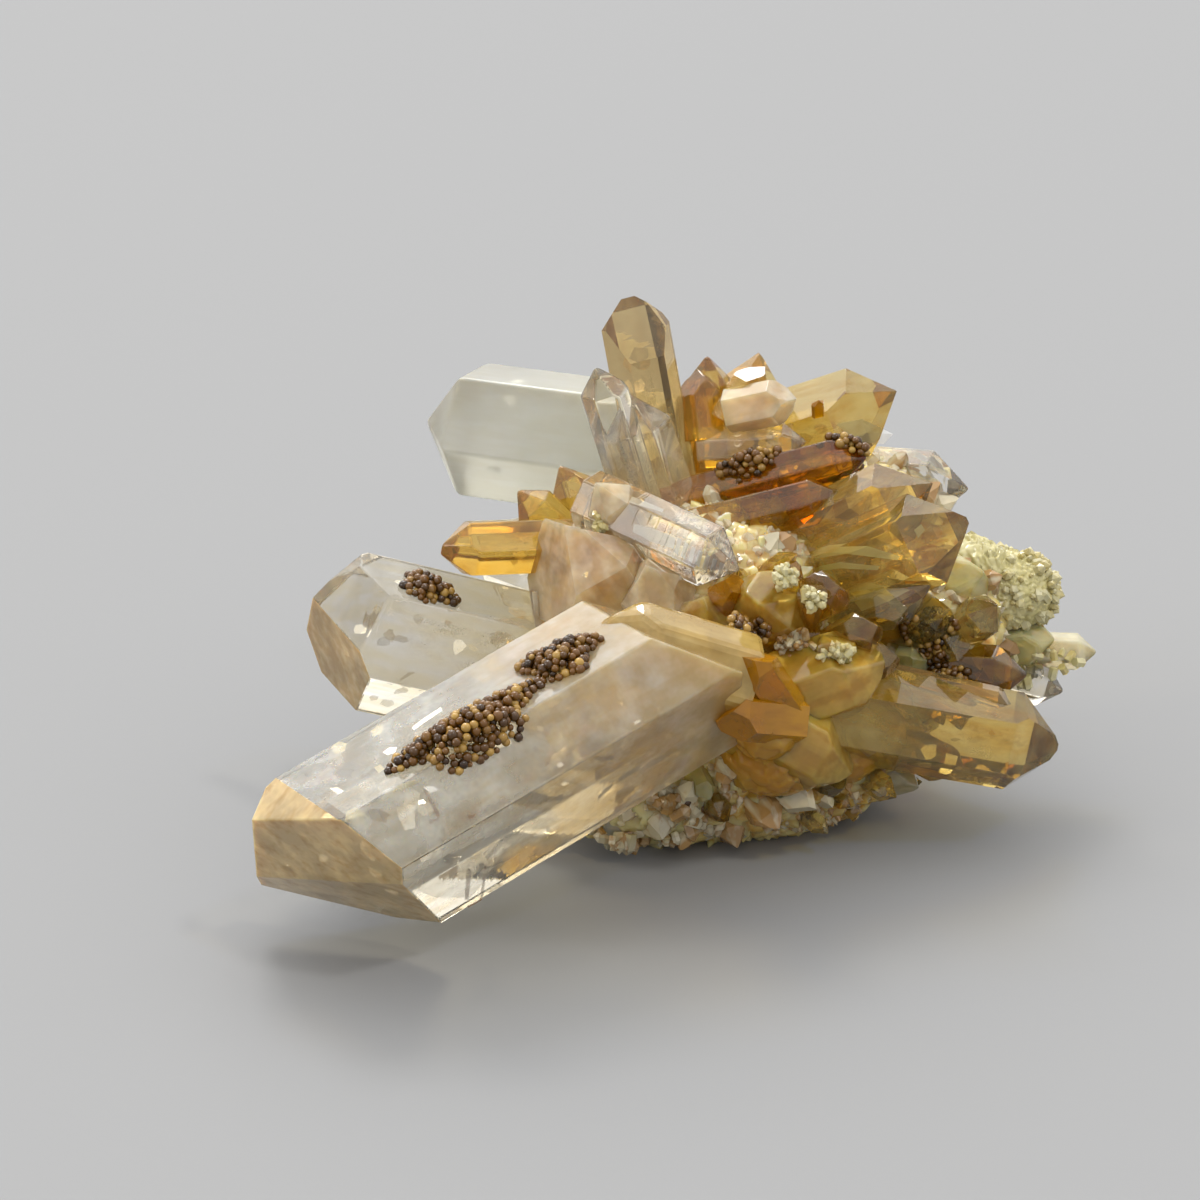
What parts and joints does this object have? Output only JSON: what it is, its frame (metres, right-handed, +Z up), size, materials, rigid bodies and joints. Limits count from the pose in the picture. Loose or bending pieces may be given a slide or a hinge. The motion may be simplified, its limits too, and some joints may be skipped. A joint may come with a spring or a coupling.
{
  "type": "mango quartz cluster",
  "caption": "Natural cluster of clear to golden-orange quartz crystals on a milky druzy foot, with dark brown beaded iron mineral crusts.",
  "frame": {"origin": "on the floor, under the middle of the box round the whole piece", "axes": "+X to the right along the longest extent, +Y to the back, +Z up; the great crystal points to the front left"},
  "size_m": [0.0592, 0.0534, 0.036],
  "materials": {
    "quartz": "clear to milky natural crystal faces",
    "iron_beads": "satin beads"
  },
  "bodies": {
    "root": {"quartz_cluster": "quartz", "bead_crust_great_long": "iron_beads", "bead_crust_great_round": "iron_beads", "bead_crust_left": "iron_beads", "bead_crust_foot": "iron_beads", "bead_crust_right": "iron_beads", "bead_crust_right_low": "iron_beads", "bead_crust_trough": "iron_beads", "bead_crust_trough_right": "iron_beads", "bead_crust_middle": "iron_beads"}
  },
  "joints": []
}
